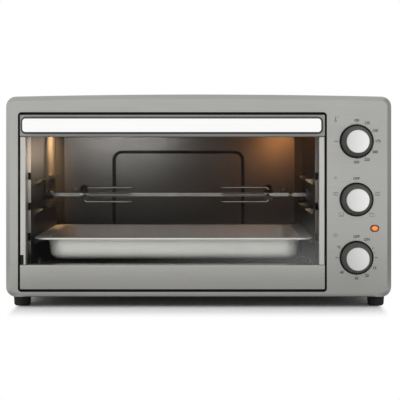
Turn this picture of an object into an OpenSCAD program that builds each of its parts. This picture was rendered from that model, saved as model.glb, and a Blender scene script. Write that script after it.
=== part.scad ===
// Countertop rotisserie oven with a drop-down glass door.
// Sizes are in millimetres. X runs to the right, Y to the back and Z up.
// Modules are drawn with Y = 0 on the fascia's face, and place() puts the origin under the middle.

/* [Body] */
// Width of the front fascia
body_w = 542; // [520:1:620]
// Height of the fascia from its lower edge to the top of its crown
body_h = 284.8; // [276:0.2:330]
// Depth from the fascia's face to the rear panel's face
body_d = 350; // [345:5:420]
// Radius of the fascia's corners
corner_r = 14; // [10:1:20]
// Depth of the bevelled and rounded edge round the fascia
edge_d = 6; // [5:0.5:8]
// Width of the bevel on that edge
bevel_w = 5; // [3:0.5:5.5]
// Slope of the bevel in degrees
bevel_a = 35; // [25:1:38]
// Rise of the crowned top edge
crown = 3; // [1:0.5:6]
// Thickness of the casing's sheet steel
sheet = 0.8; // [0.6:0.1:1.6]
// Depth of the fascia's skirt
skirt_d = 22; // [22:1:26]
// How far the bump on the rear panel stands out
bump_out = 14; // [8:1:20]
// Height of the fascia's lower edge above the counter
foot_h = 15.2; // [12:0.2:25]
// Diameter of a foot
foot_d = 25; // [20:1:28]

/* [Door] */
// Width of the fascia to the left of the door opening
left_margin = 17.5; // [15:0.5:22]
// Width of the control panel to the right of the door opening
panel_w = 91; // [86:0.5:110]
// Height of the fascia above the door opening
top_margin = 25; // [20:1:32]
// Height of the fascia below the door opening
bottom_margin = 7.6; // [6:0.1:12]
// Gap round the closed door
door_gap = 3; // [2.5:0.1:4.5]
// Thickness of the door
door_t = 18; // [15:0.5:19]
// Height of the door's top rail
top_rail_h = 32; // [28:0.2:40]
// Height of the door's bottom rail
bottom_rail_h = 35.2; // [28:0.2:42]
// Width of the door's stiles
stile_w = 8; // [7:0.2:14]
// Thickness of the door glass
glass_t = 4; // [3:0.5:5]
// Distance from the door's lower and front faces to the hinge axis
hinge_in = 7; // [6:0.5:8]
// Radius of a hinge pin
pin_r = 3; // [2:0.5:3.5]

/* [Handle] */
// Distance from the door's face to the front of the handle
handle_out = 24; // [20:1:26]
// Height of the handle bar
handle_h = 24; // [18:1:26]
// Thickness of the handle bar
handle_t = 10; // [8:0.5:12]
// Distance from the door's edge to the end of the handle
handle_in = 4.2; // [3:0.2:20]
// Width of the dark rim round the bright trim
trim_rim = 2.6; // [1.5:0.1:4]

/* [Controls] */
// Diameter of a knob's skirt
knob_d = 47.6; // [40:0.2:54]
// Diameter of a knob's bright cap
cap_d = 32; // [26:0.5:38]
// Distance from the fascia to a knob's front
knob_h = 22; // [18:1:28]
// Distance between neighbouring knobs
knob_pitch = 81.6; // [70:0.2:90]
// Distance from the fascia's right edge to the knobs
knob_in = 49.5; // [42:0.5:55]
// Distance from the middle of the fascia's height down to the middle knob
knob_down = 5.1; // [0:0.1:10]
// Width of the pilot lamp's lens
lamp_w = 12.6; // [10:0.2:16]
// Height of the pilot lamp's lens
lamp_h = 9.8; // [6:0.2:9.8]
// Distance from the fascia's right edge to the pilot lamp
lamp_in = 24; // [18:0.5:28]
// Distance from the middle knob down to the pilot lamp
lamp_down = 40.5; // [36:0.5:44]

/* [Cavity] */
// Distance from a side of the door opening in to the cavity wall
cavity_in = 14.8; // [12:0.2:24]
// Depth of the cavity behind its front frame
cavity_d = 286; // [270:1:300]
// Height of the cavity floor above the fascia's lower edge
floor_up = 28.8; // [24:0.2:34]
// Distance from the top of the crown down to the cavity ceiling
ceiling_down = 38; // [32:1:44]
// Thickness of the cavity's sheet steel
liner = 0.7; // [0.5:0.1:1.2]
// Width of the chamfered strip in each back corner
wing = 12.4; // [8:0.2:16]
// Width of the bulge pressed into the back wall
bulge_w = 218; // [150:1:260]
// Depth of the bulge pressed into the back wall
bulge_d = 8; // [4:0.5:12]
// Height of the lowest rack guide above the cavity floor
guide_up = 48.7; // [44:0.1:54]
// Distance between rack guides
guide_pitch = 43; // [40:1:46]
// How far a rack guide stands out from the wall
guide_out = 11; // [9:0.5:13]
// Radius of a heating element
element_r = 3.5; // [2.5:0.1:4]
// Distance from the front frame to the front heating elements
element_front = 76; // [60:1:90]
// Distance between the front and rear heating elements
element_pitch = 130; // [110:1:150]

/* [Rotisserie] */
// Distance from the front frame to the spit
spit_back = 141; // [130:1:150]
// Height of the spit above the cavity floor
spit_up = 107; // [100:1:112]
// Thickness of the square spit rod
spit_t = 5.2; // [4.6:0.2:7]
// Distance from the left wall to the left fork
fork_in = 61; // [50:1:80]
// Length of a fork's tines
tine_l = 62; // [40:1:80]
// Distance from the spit to a fork's tines
tine_off = 11; // [9.5:0.5:16]
// Radius of a tine
tine_r = 1.7; // [1.2:0.1:2.2]

/* [Pan and tray] */
// Distance from the cavity wall to the pan's rim
pan_gap = 1.25; // [1:0.25:5]
// Depth of the baking pan
pan_h = 32; // [24:1:34]
// Width of the pan's rim at its sides
pan_flange = 18; // [14:1:24]
// Thickness of the pan's rolled rim
rim_t = 2.8; // [2:0.2:5]
// Thickness of the pan's sheet
pan_t = 0.9; // [0.6:0.1:1.2]
// Height of the crumb tray's sides
tray_h = 4.5; // [3:0.5:5]
// Thickness of the crumb tray's sheet
tray_t = 0.7; // [0.5:0.1:0.9]

/* [Show] */
// Piece to draw

/* [Hidden] */

// Colours
satin = [0.67, 0.66, 0.64];
bright = [0.86, 0.86, 0.85];
inside = [0.62, 0.61, 0.58];
black = [0.09, 0.09, 0.09];
charcoal = [0.25, 0.25, 0.24];
clear = [0.8, 0.86, 0.88, 0.3];
amber = [0.95, 0.5, 0.12];
ceramic = [0.92, 0.9, 0.84];

// Radial clearance of a shaft in its bore
fit = 0.05;
// Clearance between pieces that move past each other
seat = 0.3;
// Radial clearance of a hole over a fixed piece
slack = 0.15;
// Facets in a quarter round of a lofted outline
steps = 6;

// Casing
half_w = body_w / 2;
top_z = foot_h + body_h;
front_y = (handle_out - body_d - bump_out) / 2;
rear_y = body_d - sheet;
wrap_in = sheet + 0.2;
wrap_y = edge_d + 2;
bevel_d = bevel_w * tan(bevel_a);
bevel_r = (edge_d - bevel_d) / cos(bevel_a);
bevel_steps = 4;
border = concat(
    [[bevel_w + bevel_r * (1 - sin(bevel_a)), 0]],
    [
        for (k = [0 : bevel_steps])
            let (a = bevel_a + (90 - bevel_a) * k / bevel_steps)
            [bevel_r * (1 - sin(a)), bevel_d + bevel_r * (cos(bevel_a) - cos(a))]
    ]
);
lip_w = 9;
lip_x = half_w - corner_r - lip_w;
base_z = foot_h + wrap_in + sheet;
base_x = half_w - corner_r - 1;
base_y = skirt_d + 0.5;
flange_w = 14;
bump_grow = 20;
bump_slope = 8;
bump_r = [24, 18];
slot_w = 3.4;
slot_l = [34, 28];
slot_pitch = [11, 10, 12];
side_slots = 12;
side_slot_in = [65, 68];
side_slot_z = [foot_h + side_slot_in[0], top_z - side_slot_in[1]];
column_pitch = 40;
top_slot_in = [71, 48];
top_slot_x = [for (k = [0 : 7]) -half_w + top_slot_in[0] + column_pitch * k];
top_slot_z = [for (k = [0, 1]) top_z - top_slot_in[1] + slot_pitch[1] * k];
rear_slot_in = [57, 95];
rear_slot_x = [for (k = [0 : 2]) half_w - rear_slot_in[0] - column_pitch * k];
rear_slot_z = [for (k = [0 : 7]) foot_h + rear_slot_in[1] + slot_pitch[2] * k];
base_pitch = 30;
base_slot_x = [for (k = [-5 : 5]) base_pitch * k];
base_slot_y = [120, 240];
base_slot = [4, 40];
side_screw_in = [45, 50];
top_screw_x = [-170, 0, 170];
foot_in = 18.5;
foot_rear = 20;

// Door opening, door and hinge
open_x = [-half_w + left_margin, half_w - panel_w];
open_z = [foot_h + bottom_margin, top_z - top_margin];
open_r = 5;
door_x = [open_x[0] + door_gap, open_x[1] - door_gap];
door_z = [open_z[0] + door_gap, open_z[1] - door_gap];
door_cx = (door_x[0] + door_x[1]) / 2;
rail_wall = 1.2;
rail_r = 2.5;
window_z = [door_z[0] + bottom_rail_h, door_z[1] - top_rail_h];
glass_in = 3;
glass_y = 6;
hinge_y = hinge_in;
hinge_z = door_z[0] + hinge_in;
bracket_t = 2;
bracket_gap = 1.5;
bracket_flange = 9;
bracket_z = [hinge_z - 8, hinge_z + 14];
pin_l = door_gap + bracket_gap + bracket_t;
pin_inner = 12;

// Handle
handle_x = [door_x[0] + handle_in, door_x[1] - handle_in];
handle_up = 0.5;
handle_mid = door_z[1] - top_rail_h / 2 + handle_up;
handle_z = [handle_mid - handle_h / 2, handle_mid + handle_h / 2];
handle_r = 7;
handle_edge = 2.5;
trim_t = 1.3;
trim_proud = 0.3;
bar_y = -handle_out + trim_proud;
post_w = 20;
post_h = 15;
post_in = 24;
post_x = [handle_x[0] + post_in, handle_x[1] - post_in];
screw_r = 1.6;
head_r = 3.6;
head_h = 2.2;
screw_l = 6;
handle_screw_l = 10;

// Stay arm and spring
stay_t = 2;
stay_in = 1.2;
stay_x = door_x[0] + stay_in;
stay_r = [30, 38];
stay_tail = -10;
stay_slot = [22, 39];
stay_room = 1.5;
stay_foot = 2;
notch_h = 13.7;
notch_w = stile_w - glass_in;
coil_r = 3.6;
coil_wire = 0.7;
coil_turns = 12;
coil_pitch = 3.4;
coil_x = stay_x + stay_t + seat + coil_wire;
coil_y = hinge_y + stay_r[1] + 3;
coil_end = coil_y + coil_turns * coil_pitch;
coil_z = hinge_z + (stay_r[0] + stay_r[1]) / 2 * sin(stay_tail);
hook_l = [8, 6];
tab_w = 10;
tab_y = [coil_end + 2, coil_end + 4];

// Cavity
cavity_x = [open_x[0] + cavity_in, open_x[1] - cavity_in];
cavity_w = cavity_x[1] - cavity_x[0];
frame_y = skirt_d + 1;
wall_y = frame_y + liner;
back_y = wall_y + cavity_d;
floor_z = foot_h + floor_up;
ceiling_z = top_z - ceiling_down;
mouth_r = 6;
frame_in = wrap_in + sheet + 0.4;
frame_x = [-half_w + frame_in, open_x[1] + 13];
notch_guide = [4, 11];
guide_z = [for (k = [0 : 2]) floor_z + guide_up + guide_pitch * k];
guide_end = 40;
guide_l = [60, 66];
guide_y = [
    [wall_y + guide_end, wall_y + guide_end + guide_l[0]],
    [back_y - guide_end - guide_l[1], back_y - guide_end]
];
guide_t = 1.6;
guide_h = 9;
bulge_left = 1.9;
bulge_cx = door_cx - bulge_left;
bulge_x = [bulge_cx - bulge_w / 2, bulge_cx + bulge_w / 2];
bulge_in = [40, 46.1];
bulge_z = [floor_z + bulge_in[0], ceiling_z - bulge_in[1]];
bump_x = grow(bulge_x, bump_grow);
bump_z = grow(bulge_z, bump_grow);
bulge_r = 16;
bulge_slope = 5;
back_screw = cavity_w / 2 - 30.3;
element_y = [wall_y + element_front, wall_y + element_front + element_pitch];
element_in = [10, 12];
element_z = [floor_z + element_in[0], ceiling_z - element_in[1]];
bush_r = 5;
bush_flange = 7.5;
bush_h = 3;
bush_l = 6;
stub = 8;
stub_r = 1.5;
element_past = 2;

// Rotisserie
spit_y = wall_y + spit_back;
spit_z = floor_z + spit_up;
support_t = 1.5;
support_out = 8;
support_w = 24;
support_h = 32;
support_lip = 15;
support_down = 7;
journal_r = 2.6;
journal_w = support_t + 1;
journal_x = cavity_x[0] + support_out - support_t / 2;
collar_r = 5.75;
collar_w = 4.5;
tip_l = 4;
neck_r = 2.2;
neck_x = [cavity_x[1] - 30, cavity_x[1] - 24];
socket_r = 8.5;
socket_out = 3;
socket_l = 16;
socket_depth = 9;
motor_gap = 4;
motor_w = 50;
motor_l = 34;
motor_leg = 6;
motor_plate = 1.5;
motor_box = 36;
shaft_r = 3;
hub_r = 8;
hub_l = 13;
bend_r = 4;
fork_x = [cavity_x[0] + fork_in, cavity_x[1] - fork_in];
thumb_r = 2;
thumb_l = 12;
thumb_head = 5.5;
thumb_h = 6;
thumb_out = 2;
knurl_r = 0.9;
tine_tip = [7, 0.3];

// Pan and tray
pan_top = guide_z[0] + seat + rim_t;
pan_x = [cavity_x[0] + pan_gap, cavity_x[1] - pan_gap];
pan_front = 8;
pan_back = 6;
pan_y = [wall_y + pan_front, back_y - wing - pan_back];
pan_r = 20;
pan_end = 8;
pan_draft = 3;
pan_fillet = 11;
tray_in = 6;
tray_back = 4;
tray_x = [cavity_x[0] + tray_in, cavity_x[1] - tray_in];
tray_y = [wall_y + tray_in, back_y - wing - tray_back];
tray_lip = 8;
tray_tab = [80, 4];

// Controls
knob_x = half_w - knob_in;
knob_z = [for (k = [1, 0, -1]) foot_h + body_h / 2 - knob_down + knob_pitch * k];
knob_gap = 0.8;
knob_r = knob_d / 2;
knob_skirt = 2.2;
flank_r = [knob_r - 1.8, cap_d / 2 + 1];
cap_t = 2.2;
dot_r = 1.1;
dot_at = 0.73;
dot_turn = [145, 144, 0];
neck_out = 5;
neck_bush = 4.5;
nut_r = 7;
nut_h = 2.5;
recess_r = 9;
recess_h = 7;
shaft_in = 11;
lamp_x = half_w - lamp_in;
lamp_z = knob_z[1] - lamp_down;
lamp_dome = 3;
lamp_flange = 1.5;
lamp_d = 22;
lens_r = (lamp_dome ^ 2 + (lamp_h / 2) ^ 2) / (2 * lamp_dome);
gland_in = 65;
gland_up = 30;
gland_x = half_w - gland_in;
gland_z = foot_h + gland_up;
gland_r = 7;
gland_bore = 4;
gland_l = [8, 11];
plate_t = 1.5;
pin_w = 6;
pin_t = 0.8;
pin_out = 8;
thermostat_plate = [42, 30];
thermostat_case = [32, 28];
thermostat_d = 26;
thermostat_pins = [-7, 7];
switch_plate = [40, 34];
switch_r = 17;
switch_d = 24;
switch_pins = 12;
timer_plate = [52, 38];
timer_r = 24;
timer_d = 30;
bell_r = 20;
bell_stem = 4;
bell_y = [34, 40];

// Points on an arc from angle a0 to angle a1
function arc(x, z, r, a0, a1, n) = [
    for (k = [0 : n])
        let (a = a0 + (a1 - a0) * k / n)
        [x + r * cos(a), z + r * sin(a)]
];

// Outline of a rectangle with round corners
function round_box(x, z, r, n) = concat(
    arc(x[1] - r, z[0] + r, r, -90, 0, n),
    arc(x[1] - r, z[1] - r, r, 0, 90, n),
    arc(x[0] + r, z[1] - r, r, 90, 180, n),
    arc(x[0] + r, z[0] + r, r, 180, 270, n)
);

// Crowned outline of the casing, moved in by i
crown_r = ((half_w - corner_r) ^ 2 + crown ^ 2) / (2 * crown) + corner_r;
crown_a = asin((half_w - corner_r) / (crown_r - corner_r));
crown_n = 10;
function casing(i) = concat(
    arc(half_w - corner_r, foot_h + corner_r, corner_r - i, -90, 0, steps),
    arc(half_w - corner_r, top_z - crown - corner_r, corner_r - i, 0, 90 - crown_a, steps),
    [
        for (k = [1 : crown_n - 1])
            let (a = 90 - crown_a + 2 * crown_a * k / crown_n)
            [(crown_r - i) * cos(a), top_z - crown_r + (crown_r - i) * sin(a)]
    ],
    arc(-half_w + corner_r, top_z - crown - corner_r, corner_r - i, 90 + crown_a, 180, steps),
    arc(-half_w + corner_r, foot_h + corner_r, corner_r - i, 180, 270, steps)
);

// Outlines set upright at a depth, or flat at a height
function at_y(points, y) = [for (p = points) [p[0], y, p[1]]];
function at_z(points, z) = [for (p = points) [p[0], p[1], z]];
function grow(span, d) = [span[0] - d, span[1] + d];

// Solid through a row of outlines that turn left as seen from before the first one
module loft(rings) {
    n = len(rings[0]);
    m = len(rings);
    polyhedron(
        points = [for (ring = rings) each ring],
        faces = concat(
            [[for (i = [n - 1 : -1 : 0]) i]],
            [[for (i = [0 : n - 1]) (m - 1) * n + i]],
            [
                for (k = [0 : m - 2], i = [0 : n - 1])
                    [k * n + i, k * n + (i + 1) % n, (k + 1) * n + (i + 1) % n]
            ],
            [
                for (k = [0 : m - 2], i = [0 : n - 1])
                    [k * n + i, (k + 1) * n + (i + 1) % n, (k + 1) * n + i]
            ]
        )
    );
}

// Rectangle with true round corners
module round_rect(x, z, r) {
    translate([x[0] + r, z[0]])
        square([x[1] - x[0] - 2 * r, z[1] - z[0]]);
    translate([x[0], z[0] + r])
        square([x[1] - x[0], z[1] - z[0] - 2 * r]);
    for (cx = [x[0] + r, x[1] - r], cz = [z[0] + r, z[1] - r])
        translate([cx, cz])
            circle(r, $fn = 48);
}

// Slot with straight sides and round ends
module oval(w, h) {
    r = min(w, h) / 2;
    square([w > h ? w - h : w, w > h ? h : h - w], center = true);
    for (s = [-1, 1])
        translate([s * (w / 2 - r), s * (h / 2 - r)])
            circle(r, $fn = 32);
}

// Flat shape in X and Z, pushed from depth y0 to y1
module along_y(y0, y1) {
    translate([0, y1, 0])
        rotate([90, 0, 0])
            linear_extrude(y1 - y0)
                children();
}

// Flat shape in Y and Z, pushed from x0 to x1
module along_x(x0, x1) {
    translate([x0, 0, 0])
        rotate([90, 0, 90])
            linear_extrude(x1 - x0)
                children();
}

module rod_x(x0, x1, r) {
    translate([x0, 0, 0])
        rotate([0, 90, 0])
            cylinder(h = x1 - x0, r = r, $fn = 48);
}

module rod_y(y0, y1, r) {
    translate([0, y1, 0])
        rotate([90, 0, 0])
            cylinder(h = y1 - y0, r = r, $fn = 48);
}

module box(x, y, z) {
    translate([x[0], y[0], z[0]])
        cube([x[1] - x[0], y[1] - y[0], z[1] - z[0]]);
}

// Pan-head screw, head up, seated at Z = 0
module screw(l) {
    difference() {
        union() {
            cylinder(h = 1.3, r = head_r, $fn = 32);
            translate([0, 0, 1.3])
                cylinder(h = head_h - 1.3, r1 = head_r, r2 = head_r - 1.1, $fn = 32);
            translate([0, 0, -l])
                cylinder(h = l, r = screw_r, $fn = 24);
        }
        for (a = [0, 90])
            rotate([0, 0, a])
                translate([-2, -0.45, 1])
                    cube([4, 0.9, 2]);
    }
}

// Places of the rear screws, the foot screws and the back wall screws
rear_screws = concat(
    [
        for (s = [-1, 1], z = [foot_h + side_screw_in[0], foot_h + body_h / 2, top_z - side_screw_in[1]])
            [s * (half_w - wrap_in - flange_w / 2), z]
    ],
    [for (x = top_screw_x) [x, top_z - crown - wrap_in - flange_w / 2]]
);
foot_x = half_w - foot_in;
foot_y = [base_y + foot_d / 2, body_d - foot_rear - foot_d / 2];
foot_top = foot_h + wrap_in;
foot_bore = 6;
foot_places = [for (s = [-1, 1], y = foot_y) [s * foot_x, y]];

module front_fascia() {
    color(satin)
        difference() {
            loft(concat(
                [for (p = border) at_y(casing(p[0]), p[1])],
                [at_y(casing(0), skirt_d)]
            ));
            loft(concat(
                [for (p = border) at_y(casing(p[0] + sheet), p[1] + sheet)],
                [at_y(casing(sheet), skirt_d + 1)]
            ));
            along_y(-1, sheet + 1)
                round_rect(open_x, open_z, open_r);
            for (z = knob_z)
                translate([knob_x, 0, z])
                    rod_y(-1, sheet + 1, neck_bush + slack);
            translate([lamp_x, 0, lamp_z])
                along_y(-1, sheet + 1)
                    oval(lamp_w + 2 * slack, lamp_h + 2 * slack);
        }
}

// Bent sheet over the top and sides, turned in under the base
module wrap_section() {
    difference() {
        polygon(casing(wrap_in));
        polygon(casing(wrap_in + sheet));
        translate([-lip_x, foot_h - 1])
            square([2 * lip_x, corner_r]);
    }
}

// Flange that the wrap turns in behind the rear panel
module wrap_flange() {
    x = half_w - wrap_in - flange_w;
    difference() {
        polygon(casing(wrap_in));
        translate([-x, foot_h - 1])
            square([2 * x, top_z - crown - wrap_in - flange_w - foot_h + 1]);
    }
}

module wrap_slots(s, z) {
    for (k = [0 : side_slots - 1])
        translate([s * (half_w - wrap_in - sheet / 2), body_d / 2 + slot_pitch[0] * k, z])
            along_x(-3, 3)
                oval(slot_w, slot_l[0]);
}

module outer_wrap() {
    color(satin)
        difference() {
            union() {
                along_y(wrap_y, rear_y)
                    wrap_section();
                along_y(rear_y - sheet, rear_y)
                    wrap_flange();
            }
            for (z = side_slot_z)
                wrap_slots(1, z);
            wrap_slots(-1, side_slot_z[1]);
            for (p = rear_screws)
                translate([p[0], 0, p[1]])
                    rod_y(rear_y - 3, rear_y + 1, screw_r + slack);
            for (p = foot_places)
                translate([p[0], p[1], foot_h])
                    cylinder(h = 5, r = screw_r + slack, $fn = 24);
        }
}

module rear_panel() {
    color(satin)
        difference() {
            union() {
                along_y(rear_y, body_d)
                    polygon(casing(wrap_in));
                loft([
                    at_y(round_box(bump_x, bump_z, bump_r[0], steps), rear_y),
                    at_y(
                        round_box(
                            grow(bump_x, -bump_slope),
                            grow(bump_z, -bump_slope), bump_r[1], steps
                        ),
                        body_d + bump_out
                    )
                ]);
            }
            loft([
                at_y(
                    round_box(
                        grow(bump_x, -sheet),
                        grow(bump_z, -sheet), bump_r[0] - sheet, steps
                    ),
                    rear_y - 0.01
                ),
                at_y(
                    round_box(
                        grow(bump_x, -bump_slope - sheet),
                        grow(bump_z, -bump_slope - sheet), bump_r[1] - sheet, steps
                    ),
                    body_d + bump_out - sheet
                )
            ]);
            for (p = rear_screws)
                translate([p[0], 0, p[1]])
                    rod_y(rear_y - 1, body_d + 1, screw_r + slack);
            for (x = top_slot_x, z = top_slot_z)
                translate([x, 0, z])
                    along_y(rear_y - 1, body_d + 1)
                        oval(slot_l[1], slot_w);
            for (x = rear_slot_x, z = rear_slot_z)
                translate([x, 0, z])
                    along_y(rear_y - 1, body_d + 1)
                        oval(slot_l[1], slot_w);
            translate([gland_x, 0, gland_z])
                rod_y(rear_y - 1, body_d + 1, gland_r + slack);
        }
}

module base_panel() {
    color(satin)
        difference() {
            union() {
                box([-base_x, base_x], [base_y, rear_y - sheet], [base_z, base_z + sheet]);
                box([coil_x - tab_w / 2, coil_x + tab_w / 2], tab_y, [base_z, coil_z + coil_r]);
            }
            for (p = foot_places)
                translate([p[0], p[1], foot_h])
                    cylinder(h = 8, r = screw_r + slack, $fn = 24);
            for (x = base_slot_x, y = base_slot_y)
                translate([x, y, base_z - 1])
                    linear_extrude(sheet + 2)
                        oval(base_slot[0], base_slot[1]);
            translate([coil_x, 0, coil_z])
                rod_y(coil_end, coil_end + hook_l[1], coil_wire + slack);
        }
}

module cabinet_screws() {
    color(bright) {
        for (p = rear_screws)
            translate([p[0], body_d, p[1]])
                rotate([-90, 0, 0])
                    screw(screw_l);
        for (p = foot_places)
            translate([p[0], p[1], foot_bore])
                rotate([180, 0, 0])
                    screw(base_z + sheet + screw_l / 2 - foot_bore);
        for (s = [-1, 1])
            translate([door_cx + s * back_screw, back_y, spit_z])
                rotate([90, 0, 0])
                    screw(screw_l);
    }
}

module cord_gland() {
    color(black)
        translate([gland_x, body_d, gland_z])
            rotate([-90, 0, 0])
                rotate_extrude($fn = 64)
                    polygon([
                        [gland_bore, -gland_l[0]], [gland_r + 2, -gland_l[0]],
                        [gland_r + 2, -4], [gland_r, -4], [gland_r, 0],
                        [gland_r + 3, 0], [gland_r + 3, 2], [gland_r + 2, 3], [gland_r, 3],
                        [gland_r - 1.4, gland_l[1]], [gland_bore, gland_l[1]]
                    ]);
}

module foot(p) {
    color(black)
        translate([p[0], p[1], 0])
            rotate_extrude($fn = 64)
                polygon([
                    [screw_r + slack, foot_bore], [head_r + 1.4, foot_bore], [head_r + 1.4, 0],
                    [foot_d / 2 - 2.6, 0], [foot_d / 2 - 1, 1.6], [foot_d / 2, foot_top],
                    [screw_r + slack, foot_top]
                ]);
}

module foot_front_left() foot(foot_places[0]);
module foot_rear_left() foot(foot_places[1]);
module foot_front_right() foot(foot_places[2]);
module foot_rear_right() foot(foot_places[3]);

module cavity_frame() {
    color(inside)
        along_y(frame_y, wall_y)
            difference() {
                intersection() {
                    polygon(casing(frame_in));
                    translate([frame_x[0], base_z + sheet])
                        square([frame_x[1] - frame_x[0], top_z]);
                }
                round_rect(cavity_x, [floor_z, ceiling_z], mouth_r);
                for (z = guide_z) {
                    translate([cavity_x[0] - notch_guide[0], z])
                        square([notch_guide[0] + 1, notch_guide[1]]);
                    translate([cavity_x[1] - 1, z])
                        square([notch_guide[0] + 1, notch_guide[1]]);
                }
                translate([stay_x - stay_room, hinge_z + stay_slot[0]])
                    square([stay_t + 2 * stay_room, stay_slot[1] - stay_slot[0]]);
            }
}

module side_wall(x) {
    difference() {
        box(x, [wall_y, back_y], [floor_z, ceiling_z]);
        for (y = element_y, z = element_z)
            translate([0, y, z])
                rod_x(x[0] - 1, x[1] + 1, bush_r + slack);
    }
}

module cavity_left_wall() {
    color(inside)
        side_wall([cavity_x[0] - liner, cavity_x[0]]);
}

module cavity_right_wall() {
    color(inside)
        difference() {
            side_wall([cavity_x[1], cavity_x[1] + liner]);
            translate([0, spit_y, spit_z])
                rod_x(cavity_x[1] - 1, cavity_x[1] + liner + 1, socket_r + seat);
        }
}

module cavity_ceiling() {
    color(inside)
        box(grow(cavity_x, liner), [wall_y, back_y], [ceiling_z, ceiling_z + liner]);
}

module cavity_floor() {
    color(inside)
        box(grow(cavity_x, liner), [wall_y, back_y], [floor_z - liner, floor_z]);
}

module back_corner(x, s) {
    translate([0, 0, floor_z])
        linear_extrude(ceiling_z - floor_z)
            polygon([
                [x, back_y - wing], [x + s * wing, back_y],
                [x + s * (wing - 1.5 * liner), back_y], [x, back_y - wing + 1.5 * liner]
            ]);
}

module cavity_back() {
    color(inside)
        difference() {
            union() {
                along_y(back_y, back_y + liner)
                    translate([cavity_x[0] - liner, floor_z - liner])
                        square([cavity_w + 2 * liner, ceiling_z - floor_z + 2 * liner]);
                loft([
                    at_y(
                        round_box(grow(bulge_x, liner), grow(bulge_z, liner), bulge_r + liner, steps),
                        back_y + liner / 2
                    ),
                    at_y(
                        round_box(
                            grow(bulge_x, liner - bulge_slope), grow(bulge_z, liner - bulge_slope),
                            bulge_r + liner - bulge_slope, steps
                        ),
                        back_y + bulge_d + liner
                    )
                ]);
                back_corner(cavity_x[0], 1);
                back_corner(cavity_x[1], -1);
            }
            loft([
                at_y(round_box(bulge_x, bulge_z, bulge_r, steps), back_y - 0.01),
                at_y(
                    round_box(
                        grow(bulge_x, -bulge_slope), grow(bulge_z, -bulge_slope),
                        bulge_r - bulge_slope, steps
                    ),
                    back_y + bulge_d
                )
            ]);
            for (s = [-1, 1])
                translate([door_cx + s * back_screw, 0, spit_z])
                    rod_y(back_y - 1, back_y + liner + 1, screw_r + slack);
        }
}

// Pressed ledges, two at each level on a wall, sloped back to the wall underneath
module rack_guides(x, s) {
    color(inside)
        for (z = guide_z, y = guide_y)
            along_y(y[0], y[1])
                polygon([
                    [x, z], [x + s * guide_out, z], [x + s * guide_out, z - guide_t], [x, z - guide_h]
                ]);
}

module left_rack_guides() rack_guides(cavity_x[0], 1);
module right_rack_guides() rack_guides(cavity_x[1], -1);

// Tube from wall to wall with a thin terminal at each end
module element(y, z) {
    span = grow(cavity_x, liner + bush_l + element_past);
    color(charcoal)
        translate([0, y, z]) {
            rod_x(span[0], span[1], element_r);
            rod_x(span[0] - stub, span[1] + stub, stub_r);
        }
}

module upper_front_element() element(element_y[0], element_z[1]);
module upper_rear_element() element(element_y[1], element_z[1]);
module lower_front_element() element(element_y[0], element_z[0]);
module lower_rear_element() element(element_y[1], element_z[0]);

module insulator() {
    rotate_extrude($fn = 48)
        polygon([
            [element_r + fit, -liner - bush_l], [bush_r, -liner - bush_l], [bush_r, 0],
            [bush_flange, 0], [bush_flange, bush_h - 1], [bush_flange - 1, bush_h],
            [element_r + fit, bush_h]
        ]);
}

module element_insulators() {
    color(ceramic)
        for (y = element_y, z = element_z) {
            translate([cavity_x[0], y, z])
                rotate([0, 90, 0])
                    insulator();
            translate([cavity_x[1], y, z])
                rotate([0, -90, 0])
                    insulator();
        }
}

module crumb_tray() {
    z = floor_z + seat;
    color(inside)
        difference() {
            union() {
                box(tray_x, tray_y, [z, z + tray_h]);
                box(tray_x, [tray_y[0], tray_y[0] + tray_t], [z, z + tray_lip]);
                box(
                    [door_cx - tray_tab[0] / 2, door_cx + tray_tab[0] / 2],
                    [tray_y[0] - tray_tab[1], tray_y[0] + tray_t],
                    [z + tray_lip - tray_t, z + tray_lip]
                );
            }
            box(grow(tray_x, -tray_t), grow(tray_y, -tray_t), [z + tray_t, z + tray_h + 1]);
        }
}

// Drawn tray with sloped sides, a round bottom edge and a rolled rim
function pan_ring(i, z) = at_z(
    round_box(
        grow(pan_x, -pan_flange - i), grow(pan_y, -pan_end - i), max(pan_r + 6 - i, 2), steps
    ),
    z
);

module pan_body(t, top) {
    bottom = pan_top - pan_h;
    loft(concat(
        [pan_ring(t, top), pan_ring(t, pan_top - rim_t / 2)],
        [
            for (a = [0 : 18 : 90])
                pan_ring(
                    pan_draft + t + (pan_fillet - t) * (1 - cos(a)),
                    bottom + t + (pan_fillet - t) * (1 - sin(a))
                )
        ]
    ));
}

module baking_pan() {
    color(bright)
        difference() {
            union() {
                loft([
                    for (a = [90 : -30 : -90])
                        at_z(
                            round_box(
                                grow(pan_x, -rim_t / 2 * (1 - cos(a))),
                                grow(pan_y, -rim_t / 2 * (1 - cos(a))),
                                pan_r - rim_t / 2 * (1 - cos(a)), steps
                            ),
                            pan_top - rim_t / 2 * (1 - sin(a))
                        )
                ]);
                pan_body(0, pan_top - 0.2);
            }
            difference() {
                translate([0, 0, pan_top - rim_t - 1])
                    linear_extrude(rim_t + 1 - pan_t)
                        polygon(round_box(grow(pan_x, -rim_t), grow(pan_y, -rim_t), pan_r - rim_t, steps));
                pan_body(0, pan_top - 0.2);
            }
            pan_body(pan_t, pan_top + 1);
        }
}

// Folded bracket with an open notch that the spit's groove rests in
module spit_support() {
    x = cavity_x[0];
    y = [spit_y - support_w / 2, spit_y + support_w / 2];
    z = spit_z - support_down;
    color(bright)
        difference() {
            union() {
                box([x, x + support_t], y, [z, z + support_h]);
                box([x, x + support_out], y, [z, z + support_t]);
                box([x + support_out - support_t, x + support_out], y, [z, z + support_lip]);
            }
            translate([0, spit_y, spit_z])
                rod_x(x + support_out - support_t - 1, x + support_out + 1, journal_r + seat);
            box(
                [x + support_out - support_t - 1, x + support_out + 1],
                [spit_y - journal_r - seat, spit_y + journal_r + seat],
                [spit_z, z + support_lip + 1]
            );
        }
}

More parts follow.
